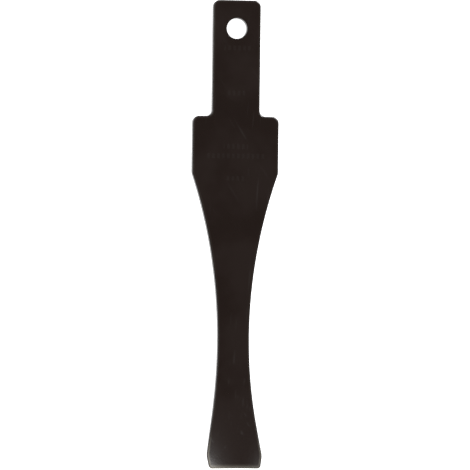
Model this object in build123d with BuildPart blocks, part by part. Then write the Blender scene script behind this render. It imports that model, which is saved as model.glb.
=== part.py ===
"""Spudger: a one-piece moulded pry lever for an electronics bench.

The tool lies on its flat back with its scooped face up. The origin is on the bench, under the middle of
the tool's length. X runs across the tool, +Y points to the hanging end, -Y to the pry tip and +Z up.
Sizes are in millimetres and angles in degrees.
"""

from build123d import *

import math
import os

# Plan view: a hanging tab, a square-shouldered grip, one long arc down each side, and a straight flare that
# runs on from it to the tip.
overall_length = 150.0
tab_width = 15.4
tab_length = 37.3
tab_corner_radius = 2.1
shoulder_root_radius = 1.9
grip_width = 27.9
grip_corner_radius = 2.1
grip_end_radius = 2.5
waist_width = 10.2
waist_to_tip = 41.0
side_radius = 165.0
flare_length = 10.0
flare_to_tip = 4.2
flare_end_radius = 5.0
edge_width = 16.4
tip_corner_radius = 1.0

# Side view: a flat lever whose last part curls up, faster and faster, into a dished tip.
grip_thickness = 3.0
edge_thickness = 1.2
bend_length = 66.0
tip_rise = 8.2
tip_angle = 20.0
dish_length = 30.0
dish_depth = 1.2

# The hole that a peg or a hook goes through.
hole_diameter = 6.6
hole_to_end = 9.1
hole_chamfer = 0.25

# Small features that the mould leaves.
face_edge_radius = 0.5
back_edge_radius = 0.2
ejector_mark_diameter = 4.0
ejector_mark_depth = 0.12
ejector_marks_from_end = (24.0, 47.0, 68.0)

# Places worked out from the sizes above.
hanging_end = overall_length / 2
tip_end = -overall_length / 2
shoulder = hanging_end - tab_length
waist = tip_end + waist_to_tip
bend_start = tip_end + bend_length
side_centre_x = waist_width / 2 + side_radius
side_top = waist + math.sqrt(side_radius**2 - (side_centre_x - grip_width / 2) ** 2)
flare_end = tip_end + flare_to_tip
flare_start = flare_end + flare_length
flare_start_half_width = side_centre_x - math.sqrt(side_radius**2 - (waist - flare_start) ** 2)
flare_slope = (waist - flare_start) / math.sqrt(side_radius**2 - (waist - flare_start) ** 2)
flare_half_width = flare_start_half_width + flare_slope * flare_length

# The lever is shaped from a blank that is wider than the outline and runs a little past the tip.
blank_margin = 2.0
blank_half_width = max(flare_half_width, grip_width / 2) + blank_margin
blank_height = tip_rise + grip_thickness + dish_depth * (blank_half_width / flare_half_width) ** 2
flat_sections = 8
bent_sections = 9

# The blank's back starts this far below the bench and is trimmed to it, which makes the back truly flat.
back_trim = 0.05

# How far the Z part of a face's direction is from 0 on the walls, and the least it is on the face and back.
wall_lean = 0.01
facing_least = 0.5


def dish_at(distance_to_tip):
    """Depth of the dish at the outline's edge: none at its start, growing smoothly to the tip."""
    share = max(0.0, 1 - distance_to_tip / dish_length)
    return dish_depth * share**2


def thickness_at(bend_share):
    """The blank's thickness along the bend, from the grip's with its trim to the tip edge's."""
    blank_thickness = grip_thickness + back_trim
    return blank_thickness - (blank_thickness - edge_thickness) * bend_share**2


def cross_section(back, along, wall, dish):
    """The blank's cross-section at a point of its back: a band of this wall thickness, with its sides raised
    so that the band is hollow by the dish's depth where the tip is widest."""
    rise = dish * (blank_half_width / flare_half_width) ** 2
    with BuildSketch(Plane(origin=back, x_dir=(1, 0, 0), z_dir=along)) as section:
        with BuildLine():
            Bezier((-blank_half_width, rise), (0, -rise), (blank_half_width, rise))
            Line((blank_half_width, rise), (blank_half_width, rise + wall))
            Bezier((blank_half_width, rise + wall), (0, wall - rise), (-blank_half_width, rise + wall))
            Line((-blank_half_width, rise + wall), (-blank_half_width, rise))
        make_face()
    return section.sketch


def corners_at(x, y):
    """The outline's two corners, one each side, at this distance from the middle and this place along it."""
    near = 0.001
    return outline.vertices().filter_by(lambda corner: math.dist((abs(corner.X), corner.Y), (x, y)) < near)


# The outline as seen from above.
with BuildSketch() as outline:
    with BuildLine():
        Polyline(
            (tab_width / 2, hanging_end),
            (tab_width / 2, shoulder),
            (grip_width / 2, shoulder),
            (grip_width / 2, side_top),
        )
        ThreePointArc(
            (grip_width / 2, side_top),
            (waist_width / 2, waist),
            (flare_start_half_width, flare_start),
        )
        Polyline(
            (flare_start_half_width, flare_start),
            (flare_half_width, flare_end),
            (edge_width / 2, tip_end),
        )
        mirror(about=Plane.YZ)
        Line((-tab_width / 2, hanging_end), (tab_width / 2, hanging_end))
        Line((-edge_width / 2, tip_end), (edge_width / 2, tip_end))
    make_face()
    for x, y, radius in (
        (edge_width / 2, tip_end, tip_corner_radius),
        (flare_half_width, flare_end, flare_end_radius),
        (grip_width / 2, side_top, grip_end_radius),
        (grip_width / 2, shoulder, grip_corner_radius),
        (tab_width / 2, shoulder, shoulder_root_radius),
        (tab_width / 2, hanging_end, tab_corner_radius),
    ):
        fillet(corners_at(x, y), radius)

# The middle line of the blank's back, seen from the side, from where it starts to bend to the tip.
with BuildLine(Plane.YZ) as back_line:
    curl = Spline(
        (bend_start, -back_trim),
        (tip_end, tip_rise),
        tangents=[(-1, 0), (-math.cos(math.radians(tip_angle)), math.sin(math.radians(tip_angle)))],
    )

# The blank's cross-sections, square to the back's middle line: flat at first, then bent and dished. They
# start and end outside the outline.
sections = []
flat_length = hanging_end + blank_margin - bend_start
for index in range(flat_sections):
    flat_run = flat_length * (1 - index / flat_sections)
    sections.append(cross_section(curl @ 0 - (curl % 0) * flat_run, curl % 0, thickness_at(0), 0.0))
for index in range(bent_sections):
    share = index / (bent_sections - 1)
    dish = dish_at((curl @ share).Y - tip_end)
    sections.append(cross_section(curl @ share, curl % share, thickness_at(share), dish))
sections.append(cross_section(curl @ 1 + (curl % 1) * blank_margin, curl % 1, edge_thickness, dish_depth))

with BuildPart() as spudger:
    # The blank.
    loft(sections)

    # Trim to the outline.
    with BuildSketch(Plane.XY.offset(-blank_margin)):
        add(outline.sketch)
    extrude(amount=blank_height + 2 * blank_margin, mode=Mode.INTERSECT)

    # Round the edge of the face, and break the edge of the back.
    walls = spudger.faces().filter_by(lambda side: abs(side.normal_at().Z) < wall_lean)
    face_sides = spudger.faces().filter_by(lambda side: side.normal_at().Z > facing_least)
    back_sides = spudger.faces().filter_by(lambda side: side.normal_at().Z < -facing_least)
    fillet([edge for edge in walls.edges() if edge in face_sides.edges()], face_edge_radius)
    fillet([edge for edge in walls.edges() if edge in back_sides.edges()], back_edge_radius)

    # Trim the back flat.
    split(bisect_by=Plane.XY, keep=Keep.TOP)

    # The hanging hole, with a 45 degree chamfer at both ends.
    hole_radius = hole_diameter / 2
    with BuildSketch(Plane.YZ):
        with Locations((hanging_end - hole_to_end, 0)):
            Polygon(
                (0, -hole_chamfer),
                (hole_radius + 2 * hole_chamfer, -hole_chamfer),
                (hole_radius, hole_chamfer),
                (hole_radius, grip_thickness - hole_chamfer),
                (hole_radius + 2 * hole_chamfer, grip_thickness + hole_chamfer),
                (0, grip_thickness + hole_chamfer),
                align=None,
            )
    revolve(axis=Axis((0, hanging_end - hole_to_end, 0), (0, 0, 1)), mode=Mode.SUBTRACT)

    # Shallow round marks in the back, where the mould's ejector pins push.
    with BuildSketch():
        with Locations([(0, hanging_end - distance) for distance in ejector_marks_from_end]):
            Circle(ejector_mark_diameter / 2)
    extrude(amount=ejector_mark_depth, mode=Mode.SUBTRACT)

spudger.part.label = "spudger"
os.makedirs("parts", exist_ok=True)
export_step(spudger.part, "parts/spudger.step")
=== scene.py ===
"""Spudger: a one-piece black nylon pry lever, lying on its back on a pale bench."""

import math

import bpy
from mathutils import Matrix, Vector


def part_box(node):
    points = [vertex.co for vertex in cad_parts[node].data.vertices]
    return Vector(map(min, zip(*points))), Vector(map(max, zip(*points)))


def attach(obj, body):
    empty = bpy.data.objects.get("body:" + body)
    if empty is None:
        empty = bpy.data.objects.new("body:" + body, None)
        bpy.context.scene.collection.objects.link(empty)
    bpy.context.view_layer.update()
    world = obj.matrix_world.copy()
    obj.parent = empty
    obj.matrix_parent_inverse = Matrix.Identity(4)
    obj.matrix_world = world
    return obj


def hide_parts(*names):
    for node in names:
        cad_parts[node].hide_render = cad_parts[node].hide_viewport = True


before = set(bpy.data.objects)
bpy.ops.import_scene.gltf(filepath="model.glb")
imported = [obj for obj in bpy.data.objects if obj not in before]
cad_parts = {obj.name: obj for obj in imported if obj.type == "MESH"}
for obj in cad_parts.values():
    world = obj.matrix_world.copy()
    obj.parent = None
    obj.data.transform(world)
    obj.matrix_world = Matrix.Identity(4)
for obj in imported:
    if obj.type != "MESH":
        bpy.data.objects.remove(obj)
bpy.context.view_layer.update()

# ---------------------------------------------------------------- sizes, in metres, as in the frame
MM = 0.001
low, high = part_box("spudger")

# The outline, from above: hanging tab, grip, long arcs, and a straight flare to the pry edge.
hanging_end = high[1]
tip_end = low[1]
tab_width = 15.4 * MM
tab_length = 37.3 * MM
grip_width = 27.9 * MM
waist_width = 10.2 * MM
waist_to_tip = 41.0 * MM
side_radius = 165.0 * MM
flare_to_tip = 4.2 * MM
flare_length = 10.0 * MM
edge_width = 16.4 * MM

# The side view: flat, then curled up to the tip, and thinner and hollow there.
grip_thickness = 3.0 * MM
edge_thickness = 1.2 * MM
bend_length = 66.0 * MM
tip_rise = 8.2 * MM
tip_angle = math.radians(20.0)
dish_length = 30.0 * MM
dish_depth = 1.2 * MM

# How strongly the cubic curl follows its direction at its start and at the tip.
curl_leave = 74.25 * MM
curl_arrive = 57.93 * MM

# The outline's rounded corners.
tab_corner_radius = 2.1 * MM
shoulder_root_radius = 1.9 * MM
grip_corner_radius = 2.1 * MM
grip_end_radius = 2.5 * MM
flare_end_radius = 5.0 * MM
tip_corner_radius = 1.0 * MM

# The hanging hole, the rounded edges, and the marks of the mould's ejector pins in the back.
hole_radius = 3.3 * MM
hole_to_end = 9.1 * MM
hole_chamfer = 0.25 * MM
face_edge_radius = 0.5 * MM
back_edge_radius = 0.2 * MM
ejector_mark_radius = 2.0 * MM
ejector_mark_depth = 0.12 * MM
ejector_marks_from_end = (24.0 * MM, 47.0 * MM, 68.0 * MM)

# How finely the mesh follows the shape.
side_rows = 36
fine_rows = 88
fine_columns = 12
corner_steps = 10
face_edge_steps = 4
back_edge_steps = 3
hole_chamfer_steps = 2
hole_steps = 96
ejector_mark_steps = 64
curl_refinements = 12
placing_tolerance = 0.01 * MM
merge_distance = 0.002 * MM

# A bevel's profile: 0.5 is round and 0.25 is flat.
round_profile = 0.5
chamfer_profile = 0.35

# Corners between faces that turn by more than this stay sharp.
smooth_angle = math.radians(40)

# The nylon's colours and roughness.
nylon_dark = (0.0108, 0.0059, 0.0044, 1)
nylon_light = (0.0126, 0.0070, 0.0053, 1)
nylon_scuffed = (0.034, 0.030, 0.028, 1)
# Light colour of the tip's edges: partly wear, partly a painted highlight on the rounded edge.
nylon_wear_and_highlight = (0.205, 0.190, 0.160, 1)
nylon_roughness = 0.27
cloud_roughness = 0.05
scuff_roughness = 0.12
worn_polish = 0.06
tip_polish = 0.03

# Its grain, pits and scratches. Scales are in cells to the metre, and a range is the part of a noise's
# greys over which a mask goes from none to full.
cloud_scale = 55.0
cloud_range = (0.36, 0.64)
grain_scale = 1600.0
pit_scale = 420.0
pit_range = (0.70, 0.78)
grain_depth = 0.008 * MM
scratch_stretch = (1500.0, 60.0, 1500.0)
scratch_sets = ((0.06, 75.0), (-0.55, 110.0))
scratch_range = (0.66, 0.72)
scratch_patch_range = (0.48, 0.66)
scuff_colour = 0.5
quiet_scuffs = 0.4
busy_scuffs = 0.8
tip_wear_length = 30.0 * MM

# The edges' light colour, partly wear and partly a painted highlight, which is full at the tip and fades
# along the tool and down the rounded edge.
wear_and_highlight_scale = 600.0
wear_and_highlight_range = (0.2, 0.6)
wear_and_highlight_falloff = 6
patchy_wear_and_highlight = 0.75
quiet_wear_and_highlight = 0.05
wear_and_highlight_end_length = 14.0 * MM
wear_and_highlight_band = 0.35 * MM
# Over the tip's last stretch the end edge is painted light all across: partly wear, partly a painted
# highlight.
tip_lip = 2.0 * MM
lip_falloff = 2.0
# Less of the light edge colour on the right half than on the left: painted light, one side drawn lighter
# than the other, not wear.
right_side_painted_light = 0.48

# Rows of plain ticks: each row's place along and across the tool, and its length.
tick_rows = [
    (59.6 * MM, 0.2 * MM, 8.4 * MM),
    (45.1 * MM, 0.0, 6.0 * MM),
    (27.9 * MM, 0.0, 7.7 * MM),
    (24.9 * MM, 0.0, 19.0 * MM),
    (17.7 * MM, 0.0, 5.5 * MM),
]
tick_pitch = 1.6 * MM
tick_height = 1.3 * MM
tick_softness = 0.12 * MM
tick_gap = (0.2 * tick_pitch, 0.3 * tick_pitch)
tick_colour = 0.12
tick_relief = 2.0

# Light and camera. Each lamp has its place, its width and height, and its power in watts.
lamps = {
    "key": ((0.9, 0.95, 0.75), 0.58, 0.58, 28),
    "side": ((-0.95, 0.65, 0.9), 1.2, 1.2, 8),
    "front": ((0.0, -0.85, 0.65), 1.2, 0.7, 9),
}
world_strength = 0.05
floor_size = 6
floor_white = (0.95, 0.95, 0.95, 1)
floor_roughness = 0.9
floor_glow = 1.0
view_span = 150.95 * MM
view_centre = (0.12 * MM, -0.46 * MM, grip_thickness)
view_lean = math.radians(7.5)
view_roll = math.radians(0.70)
view_lens = 250
view_sensor = 36
view_depth = 20

# Places worked out from the sizes.
shoulder = hanging_end - tab_length
waist = tip_end + waist_to_tip
bend_start = tip_end + bend_length
hole_y = hanging_end - hole_to_end
side_centre = waist_width / 2 + side_radius
side_top = waist + math.sqrt(side_radius**2 - (side_centre - grip_width / 2) ** 2)
flare_end = tip_end + flare_to_tip


def side_half_width(y):
    """Half the tool's width where its sides are the long arcs."""
    return side_centre - math.sqrt(side_radius**2 - (waist - y) ** 2)


flare_start = flare_end + flare_length
flare_slope = (waist - flare_start) / math.sqrt(side_radius**2 - (waist - flare_start) ** 2)
flare_half_width = side_half_width(flare_start) + flare_slope * flare_length


# ---------------------------------------------------------------- small helpers for edit mode
def deselect_everything():
    bpy.ops.object.select_all(action="DESELECT")


def edit_mesh(piece):
    """Make this the only selected object and open it in edit mode, with nothing selected in it."""
    deselect_everything()
    bpy.context.view_layer.objects.active = piece
    piece.select_set(True)
    bpy.ops.object.mode_set(mode="EDIT")
    bpy.ops.mesh.select_all(action="DESELECT")


def pick(piece, kind, wanted):
    """Select the vertices, edges or faces whose corner points all satisfy the test."""
    bpy.ops.mesh.select_mode(type={"vertices": "VERT", "edges": "EDGE", "polygons": "FACE"}[kind])
    bpy.ops.mesh.select_all(action="DESELECT")
    bpy.ops.object.mode_set(mode="OBJECT")
    mesh = piece.data
    for item in getattr(mesh, kind):
        points = [item.co] if kind == "vertices" else [mesh.vertices[i].co for i in item.vertices]
        item.select = all(wanted(point) for point in points)
    bpy.ops.object.mode_set(mode="EDIT")


def near(value, target):
    return abs(value - target) < placing_tolerance


def apply_modifier(piece, name):
    deselect_everything()
    bpy.context.view_layer.objects.active = piece
    piece.select_set(True)
    bpy.ops.object.modifier_apply(modifier=name)


def cut_away(piece, cutter):
    """Subtract the cutter from the piece and throw the cutter away."""
    boolean = piece.modifiers.new("cut", "BOOLEAN")
    boolean.operation = "DIFFERENCE"
    boolean.solver = "EXACT"
    boolean.object = cutter
    apply_modifier(piece, "cut")
    bpy.data.objects.remove(cutter, do_unlink=True)


# ---------------------------------------------------------------- the tool's shape
def slice_across(y):
    bpy.ops.mesh.select_all(action="SELECT")
    bpy.ops.mesh.bisect(plane_co=(0, y, 0), plane_no=(0, 1, 0))


def slice_along(x):
    bpy.ops.mesh.select_all(action="SELECT")
    bpy.ops.mesh.bisect(plane_co=(x, 0, 0), plane_no=(1, 0, 0))


def round_corners(piece, x, y, radius, turn=math.pi / 2):
    """Round the outline's two corners, one each side, where it turns by this angle."""
    pick(piece, "vertices", lambda point: near(abs(point.x), x) and near(point.y, y))
    bpy.ops.mesh.bevel(
        offset=radius * math.tan(turn / 2), offset_type="OFFSET", segments=corner_steps,
        profile=round_profile, affect="VERTICES", clamp_overlap=True,
    )


def merge_faces():
    """Make one face of the flat faces drawn so far."""
    bpy.ops.mesh.select_mode(type="FACE")
    bpy.ops.mesh.select_all(action="SELECT")
    bpy.ops.mesh.normals_make_consistent(inside=False)
    bpy.ops.mesh.dissolve_faces()


def extrude_row(width_from, width_to, step):
    """Extrude the selected edges down the tool and scale them to their new width."""
    bpy.ops.mesh.extrude_region_move(TRANSFORM_OT_translate={"value": (0, -step, 0)})
    bpy.ops.transform.resize(value=(width_to / width_from, 1, 1))


def flat_outline():
    """The tool's outline as one flat face: the grip, with the tab drawn up and the lever drawn down."""
    grip_length = shoulder - side_top
    bpy.ops.mesh.primitive_plane_add(size=1, location=(0, side_top + grip_length / 2, 0))
    piece = bpy.context.object
    piece.scale = (grip_width, grip_length, 1)
    bpy.ops.object.transform_apply(location=True, rotation=True, scale=True)
    edit_mesh(piece)
    slice_along(-tab_width / 2)
    slice_along(tab_width / 2)
    tab_reach = tab_width / 2 + placing_tolerance
    pick(piece, "edges", lambda point: near(point.y, shoulder) and abs(point.x) < tab_reach)
    bpy.ops.mesh.extrude_region_move(TRANSFORM_OT_translate={"value": (0, tab_length, 0)})
    merge_faces()
    inner_reach = grip_width / 2 - placing_tolerance
    pick(piece, "vertices", lambda point: near(point.y, side_top) and abs(point.x) < inner_reach)
    bpy.ops.mesh.dissolve_verts()
    pick(piece, "edges", lambda point: near(point.y, side_top))
    step = (side_top - flare_start) / side_rows
    for row in range(side_rows):
        y = side_top - row * step
        extrude_row(2 * side_half_width(y), 2 * side_half_width(y - step), step)
    extrude_row(2 * side_half_width(flare_start), 2 * flare_half_width, flare_length)
    extrude_row(2 * flare_half_width, edge_width, flare_to_tip)
    merge_faces()
    grip_turn = math.asin((side_top - waist) / side_radius)
    flare_turn = math.atan(flare_slope) + math.atan((flare_half_width - edge_width / 2) / flare_to_tip)
    round_corners(piece, tab_width / 2, hanging_end, tab_corner_radius)
    round_corners(piece, tab_width / 2, shoulder, shoulder_root_radius)
    round_corners(piece, grip_width / 2, shoulder, grip_corner_radius)
    round_corners(piece, grip_width / 2, side_top, grip_end_radius, grip_turn)
    round_corners(piece, flare_half_width, flare_end, flare_end_radius, flare_turn)
    round_corners(piece, edge_width / 2, tip_end, tip_corner_radius)
    bpy.ops.object.mode_set(mode="OBJECT")
    return piece


def round_edges(piece, height, radius, steps):
    """Round the edge that runs all the way round the face or the back."""
    edit_mesh(piece)
    pick(piece, "edges", lambda point: near(point.z, height))
    bpy.ops.mesh.bevel(
        offset=radius, offset_type="OFFSET", segments=steps, profile=round_profile, affect="EDGES",
        clamp_overlap=True,
    )
    bpy.ops.object.mode_set(mode="OBJECT")


def cut_hole(piece):
    """Cut the hanging hole and break its two rims, one after the other."""
    bpy.ops.mesh.primitive_cylinder_add(
        vertices=hole_steps, radius=hole_radius, depth=4 * grip_thickness,
        location=(0, hole_y, grip_thickness / 2),
    )
    cut_away(piece, bpy.context.object)
    for height in (0, grip_thickness):

        def on_rim(point):
            return near(point.z, height) and near(math.hypot(point.x, point.y - hole_y), hole_radius)

        edit_mesh(piece)
        pick(piece, "edges", on_rim)
        bpy.ops.mesh.bevel(
            offset=hole_chamfer, offset_type="OFFSET", segments=hole_chamfer_steps, profile=chamfer_profile,
            affect="EDGES",
        )
        bpy.ops.object.mode_set(mode="OBJECT")


def cut_ejector_marks(piece):
    """Press the shallow round marks into the back."""
    for distance in ejector_marks_from_end:
        bpy.ops.mesh.primitive_cylinder_add(
            vertices=ejector_mark_steps, radius=ejector_mark_radius, depth=2 * ejector_mark_depth,
            location=(0, hanging_end - distance, 0),
        )
        cut_away(piece, bpy.context.object)


def curl_point(share):
    """A point of the back's middle line and its direction there, each as (y, z), from bench to tip."""
    t, t2, t3 = share, share**2, share**3
    start, end = Vector((bend_start, 0)), Vector((tip_end, tip_rise))
    leave = Vector((-1, 0)) * curl_leave
    arrive = Vector((-math.cos(tip_angle), math.sin(tip_angle))) * curl_arrive
    point = start * (2 * t3 - 3 * t2 + 1) + leave * (t3 - 2 * t2 + t)
    point += end * (3 * t2 - 2 * t3) + arrive * (t3 - t2)
    along = start * (6 * t2 - 6 * t) + leave * (3 * t2 - 4 * t + 1)
    along += end * (6 * t - 6 * t2) + arrive * (3 * t2 - 2 * t)
    return point, along.normalized()


def dish_at(distance_to_tip):
    """How far the tip's sides stand above its middle, where it is widest."""
    return dish_depth * max(0.0, 1 - distance_to_tip / dish_length) ** 2


def curled_height(x, y, level):
    """The height of a point of the curled tool: level 0 lies on its back and level 1 on its face.

    The point's share of the way along the curl is found step by step, from how far it misses y.
    """
    if y >= bend_start:
        return level * grip_thickness
    share = (bend_start - y) / bend_length
    for _ in range(curl_refinements):
        back, along = curl_point(min(share, 1.0))
        back = back + along * max(0.0, share - 1.0) * bend_length
        wall = grip_thickness - (grip_thickness - edge_thickness) * min(share, 1.0) ** 2
        raised = level * wall + dish_at(max(0.0, back.x - tip_end)) * (x / flare_half_width) ** 2
        miss = back.x + along.y * raised - y
        share += miss / bend_length
    return back.y - along.x * raised


def curl_and_dish(piece):
    """Bend the flat tool's last part up into its curl, and hollow its tip."""
    for vertex in piece.data.vertices:
        level = vertex.co.z / grip_thickness
        vertex.co.z = curled_height(vertex.co.x, vertex.co.y, level)


def mark_edges(piece):
    """Store the flat tool's edge mask, partly wear and partly a painted highlight: full where the face
    starts, fading down its rounded edge.
    """
    wear_and_highlight = piece.data.attributes.new("edge_wear_and_highlight", "FLOAT", "POINT")
    for vertex in piece.data.vertices:
        up = (vertex.co.z - grip_thickness + face_edge_radius) / face_edge_radius
        wear_and_highlight.data[vertex.index].value = max(0.0, min(1.0, up)) ** wear_and_highlight_falloff


def inset_face(piece, width):
    """Add a band round the inside of the face, over which its edge's wear and painted highlight fade out."""
    edit_mesh(piece)
    pick(piece, "polygons", lambda point: near(point.z, grip_thickness))
    bpy.ops.mesh.inset(thickness=width, depth=0)
    bpy.ops.object.mode_set(mode="OBJECT")
    wear_and_highlight = piece.data.attributes["edge_wear_and_highlight"]
    for polygon in piece.data.polygons:
        if polygon.select:
            for index in polygon.vertices:
                wear_and_highlight.data[index].value = 0.0


def make_tool():
    """Model the tool flat, with its edges, hole and marks, and then curl it."""
    piece = flat_outline()
    piece.name = "spudger_moulding"
    piece.data.name = "spudger_moulding"
    edit_mesh(piece)
    bpy.ops.mesh.select_all(action="SELECT")
    bpy.ops.mesh.extrude_region_move(TRANSFORM_OT_translate={"value": (0, 0, grip_thickness)})
    bpy.ops.mesh.select_all(action="SELECT")
    bpy.ops.mesh.normals_make_consistent(inside=False)
    bpy.ops.object.mode_set(mode="OBJECT")
    round_edges(piece, grip_thickness, face_edge_radius, face_edge_steps)
    round_edges(piece, 0, back_edge_radius, back_edge_steps)
    mark_edges(piece)
    inset_face(piece, wear_and_highlight_band)
    cut_hole(piece)
    cut_ejector_marks(piece)
    edit_mesh(piece)
    for row in range(1, fine_rows):
        slice_across(bend_start - bend_length * row / fine_rows)
    for column in range(-fine_columns, fine_columns + 1):
        slice_along(flare_half_width * column / fine_columns)
    bpy.ops.mesh.select_all(action="SELECT")
    bpy.ops.mesh.remove_doubles(threshold=merge_distance)
    bpy.ops.object.mode_set(mode="OBJECT")
    curl_and_dish(piece)
    edit_mesh(piece)
    bpy.ops.mesh.select_all(action="SELECT")
    bpy.ops.mesh.normals_make_consistent(inside=False)
    bpy.ops.object.mode_set(mode="OBJECT")
    deselect_everything()
    piece.select_set(True)
    bpy.context.view_layer.objects.active = piece
    bpy.ops.object.shade_smooth_by_angle(angle=smooth_angle)
    weighted = piece.modifiers.new("weighted", "WEIGHTED_NORMAL")
    weighted.keep_sharp = True
    apply_modifier(piece, "weighted")
    return piece


# ---------------------------------------------------------------- material
def add_node(tree, kind, inputs=None, **settings):
    """Add a shader node, set its own settings, and give its inputs their values or links."""
    node = tree.nodes.new(kind)
    for name, value in settings.items():
        setattr(node, name, value)
    for name, value in (inputs or {}).items():
        if isinstance(value, bpy.types.NodeSocket):
            tree.links.new(value, node.inputs[name])
        else:
            node.inputs[name].default_value = value
    return node


def calculate(tree, operation, first, second=0.0):
    """A Math node's result."""
    return add_node(tree, "ShaderNodeMath", {0: first, 1: second}, operation=operation).outputs[0]


def stretch(tree, value, low_value, high_value, low_result=0.0, high_result=1.0):
    """The value between two limits turned into a result between two others, eased at both ends."""
    inputs = {"Value": value, "From Min": low_value, "From Max": high_value}
    inputs.update({"To Min": low_result, "To Max": high_result})
    node = add_node(tree, "ShaderNodeMapRange", inputs, interpolation_type="SMOOTHSTEP")
    return node.outputs["Result"]


def noise(tree, place, scale, detail=2.0):
    """A noise texture's grey value; the scale is in cells to the metre."""
    node = add_node(tree, "ShaderNodeTexNoise", {"Vector": place, "Scale": scale, "Detail": detail})
    return node.outputs["Fac"]


def blend(tree, share, first, second):
    """Two colours mixed by a share from 0 to 1."""
    node = add_node(tree, "ShaderNodeMix", data_type="RGBA")
    for socket, value in ((node.inputs[0], share), (node.inputs[6], first), (node.inputs[7], second)):
        if isinstance(value, bpy.types.NodeSocket):
            tree.links.new(value, socket)
        else:
            socket.default_value = value
    return node.outputs[2]


def new_group(name, results):
    """An empty shader node group that takes a place on the piece and gives these grey values."""
    group = bpy.data.node_groups.new(name, "ShaderNodeTree")
    group.interface.new_socket("Place", in_out="INPUT", socket_type="NodeSocketVector")
    for result in results:
        group.interface.new_socket(result, in_out="OUTPUT", socket_type="NodeSocketFloat")
    place = group.nodes.new("NodeGroupInput").outputs["Place"]
    return group, place, group.nodes.new("NodeGroupOutput").inputs


def add_group(tree, group, place):
    node = add_node(tree, "ShaderNodeGroup", node_tree=group)
    tree.links.new(place, node.inputs["Place"])
    return node


def mould_grain():
    """Moulded nylon's own look: slow clouds of tone, a fine satin grain and sparse darker pits."""
    group, place, results = new_group("mould_grain", ["Clouds", "Height"])
    clouds = stretch(group, noise(group, place, cloud_scale, 3.0), *cloud_range)
    grain = noise(group, place, grain_scale, 3.0)
    pits = stretch(group, noise(group, place, pit_scale, 1.0), *pit_range, 0.0, -1.0)
    group.links.new(clouds, results["Clouds"])
    group.links.new(calculate(group, "ADD", grain, pits), results["Height"])
    return group


def handling_scuffs():
    """Hair-thin scratches, lengthwise and slanting, that come in patches."""
    group, place, results = new_group("handling_scuffs", ["Mask"])
    lines = []
    for turn, patch_scale in scratch_sets:
        turned = add_node(group, "ShaderNodeMapping", {"Vector": place, "Rotation": (0, 0, turn)})
        drawn = add_node(group, "ShaderNodeMapping", {"Vector": turned.outputs[0], "Scale": scratch_stretch})
        line = stretch(group, noise(group, drawn.outputs[0], 1.0, 1.0), *scratch_range)
        patch = stretch(group, noise(group, turned.outputs[0], patch_scale, 1.0), *scratch_patch_range)
        lines.append(calculate(group, "MULTIPLY", line, patch))
    group.links.new(calculate(group, "MAXIMUM", *lines), results["Mask"])
    return group


def plain_ticks():
    """Rows of short plain bars, where such a tool has small raised marks on its tab and grip."""
    group, place, results = new_group("plain_ticks", ["Mask"])
    across, along = add_node(group, "ShaderNodeSeparateXYZ", {0: place}).outputs[:2]
    stripes = calculate(group, "PINGPONG", across, tick_pitch / 2)
    bars = stretch(group, stripes, *tick_gap)
    rows = None
    for row_y, row_x, row_length in tick_rows:
        off_y = calculate(group, "ABSOLUTE", calculate(group, "SUBTRACT", along, row_y))
        off_x = calculate(group, "ABSOLUTE", calculate(group, "SUBTRACT", across, row_x))
        inside_y = stretch(group, off_y, tick_height / 2, tick_height / 2 + tick_softness, 1.0, 0.0)
        inside_x = stretch(group, off_x, row_length / 2, row_length / 2 + tick_softness, 1.0, 0.0)
        row = calculate(group, "MULTIPLY", inside_x, inside_y)
        rows = row if rows is None else calculate(group, "MAXIMUM", rows, row)
    group.links.new(calculate(group, "MULTIPLY", rows, bars), results["Mask"])
    return group


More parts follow.
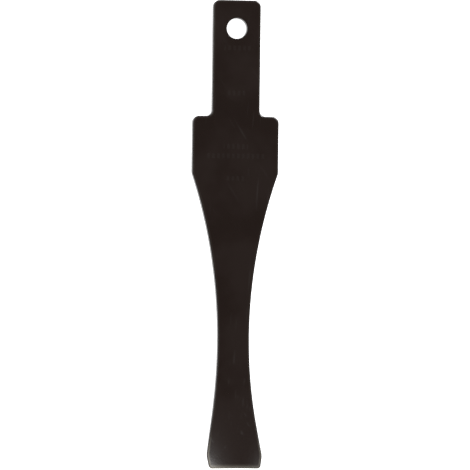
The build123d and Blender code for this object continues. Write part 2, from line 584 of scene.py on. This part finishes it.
def black_nylon():
    """Satin black-brown nylon with a fine grain, slightly shinier and more scratched towards the pry tip,
    and with the tip's edges painted lighter, partly as wear and partly as a painted highlight.
    """
    material = bpy.data.materials.new("black_nylon")
    material.use_nodes = True
    tree = material.node_tree
    shader = tree.nodes["Principled BSDF"]
    place = add_node(tree, "ShaderNodeTexCoord").outputs["Object"]
    grain = add_group(tree, mould_grain(), place).outputs
    scuffs = add_group(tree, handling_scuffs(), place).outputs["Mask"]
    ticks = add_group(tree, plain_ticks(), place).outputs["Mask"]
    across, along = add_node(tree, "ShaderNodeSeparateXYZ", {0: place}).outputs[:2]
    near_tip = stretch(tree, along, tip_end, tip_end + tip_wear_length, 1.0, 0.0)
    scuff_share = stretch(tree, near_tip, 0.0, 1.0, quiet_scuffs, busy_scuffs)
    scuff = calculate(tree, "MULTIPLY", scuffs, scuff_share)

    # The edge mask is partly wear and partly a painted highlight along the tip's rounded edges.
    edge = add_node(tree, "ShaderNodeAttribute", attribute_name="edge_wear_and_highlight").outputs["Fac"]
    patches = stretch(tree, noise(tree, place, wear_and_highlight_scale), *wear_and_highlight_range, patchy_wear_and_highlight, 1.0)
    edge = calculate(tree, "MULTIPLY", edge, patches)
    wear_and_highlight_end = stretch(tree, along, tip_end, tip_end + wear_and_highlight_end_length, 1.0, 0.0)
    edge = calculate(tree, "MULTIPLY", edge, stretch(tree, wear_and_highlight_end, 0.0, 1.0, quiet_wear_and_highlight, 1.0))
    lip = stretch(tree, along, tip_end, tip_end + tip_lip, 1.0, 0.0)
    edge = calculate(tree, "MAXIMUM", edge, calculate(tree, "POWER", lip, lip_falloff))
    # Painted light: the left half of the tip's edges is drawn lighter than the right.
    painted_light_side = stretch(tree, across, -flare_half_width, 0.0, 1.0, right_side_painted_light)
    edge = calculate(tree, "MULTIPLY", edge, painted_light_side)

    colour = blend(tree, grain["Clouds"], nylon_dark, nylon_light)
    colour = blend(tree, calculate(tree, "MULTIPLY", scuff, scuff_colour), colour, nylon_scuffed)
    colour = blend(tree, calculate(tree, "MULTIPLY", ticks, tick_colour), colour, nylon_scuffed)
    # The light edge colour: partly wear, partly a painted highlight.
    colour = blend(tree, edge, colour, nylon_wear_and_highlight)
    tree.links.new(colour, shader.inputs["Base Color"])

    rough = stretch(tree, grain["Clouds"], 0.0, 1.0, nylon_roughness, nylon_roughness + cloud_roughness)
    rough = calculate(tree, "ADD", rough, calculate(tree, "MULTIPLY", scuff, scuff_roughness))
    rough = calculate(tree, "SUBTRACT", rough, calculate(tree, "MULTIPLY", edge, worn_polish))
    rough = calculate(tree, "SUBTRACT", rough, calculate(tree, "MULTIPLY", near_tip, tip_polish))
    tree.links.new(rough, shader.inputs["Roughness"])

    height = calculate(tree, "SUBTRACT", grain["Height"], scuff)
    height = calculate(tree, "ADD", height, calculate(tree, "MULTIPLY", ticks, tick_relief))
    bump = add_node(tree, "ShaderNodeBump", {"Height": height, "Strength": 1.0, "Distance": grain_depth})
    tree.links.new(bump.outputs["Normal"], shader.inputs["Normal"])
    return material


# ---------------------------------------------------------------- light, floor and camera
def soft_box(name, place, width, height, watts):
    """A rectangular area light at a place, facing the tool's tip."""
    light = bpy.data.lights.new(name, "AREA")
    light.shape = "RECTANGLE"
    light.size, light.size_y = width, height
    light.energy = watts
    lamp = bpy.data.objects.new(name, light)
    lamp.location = place
    lamp.rotation_euler = (Vector((0, tip_end, 0)) - Vector(place)).to_track_quat("-Z", "Y").to_euler()
    bpy.context.scene.collection.objects.link(lamp)


def make_floor():
    """A plain white bench that glows by itself, so that it stays pale right up to the tool."""
    bpy.ops.mesh.primitive_plane_add(size=floor_size, location=(0, 0, 0))
    floor = bpy.context.object
    floor.name = "bench"
    material = bpy.data.materials.new("bench_white")
    material.use_nodes = True
    shader = material.node_tree.nodes["Principled BSDF"]
    shader.inputs["Base Color"].default_value = floor_white
    shader.inputs["Roughness"].default_value = floor_roughness
    shader.inputs["Emission Color"].default_value = (1, 1, 1, 1)
    shader.inputs["Emission Strength"].default_value = floor_glow
    floor.data.materials.append(material)


def make_camera():
    """Above the tool, leaning a little to its left, and turned so that the hanging end is up."""
    camera = bpy.data.cameras.new("camera")
    camera.lens = view_lens
    camera.sensor_width = view_sensor
    camera.clip_end = view_depth
    view = bpy.data.objects.new("camera", camera)
    distance = view_span * view_lens / view_sensor
    away = Vector((-math.sin(view_lean), 0, math.cos(view_lean)))
    view.location = Vector(view_centre) + away * distance
    view.rotation_euler = (0, -view_lean, 0)
    view.rotation_euler.rotate_axis("Z", view_roll)
    bpy.context.scene.collection.objects.link(view)
    bpy.context.scene.camera = view


def make_world():
    world = bpy.data.worlds.new("studio")
    world.use_nodes = True
    background = world.node_tree.nodes["Background"]
    background.inputs["Color"].default_value = (1, 1, 1, 1)
    background.inputs["Strength"].default_value = world_strength
    bpy.context.scene.world = world


bpy.context.scene.view_settings.view_transform = "Standard"
make_world()
make_floor()
make_camera()
for name, (place, width, height, watts) in lamps.items():
    soft_box(name, place, width, height, watts)

tool = make_tool()
tool.data.materials.clear()
tool.data.materials.append(black_nylon())
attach(tool, "root")
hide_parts("spudger")
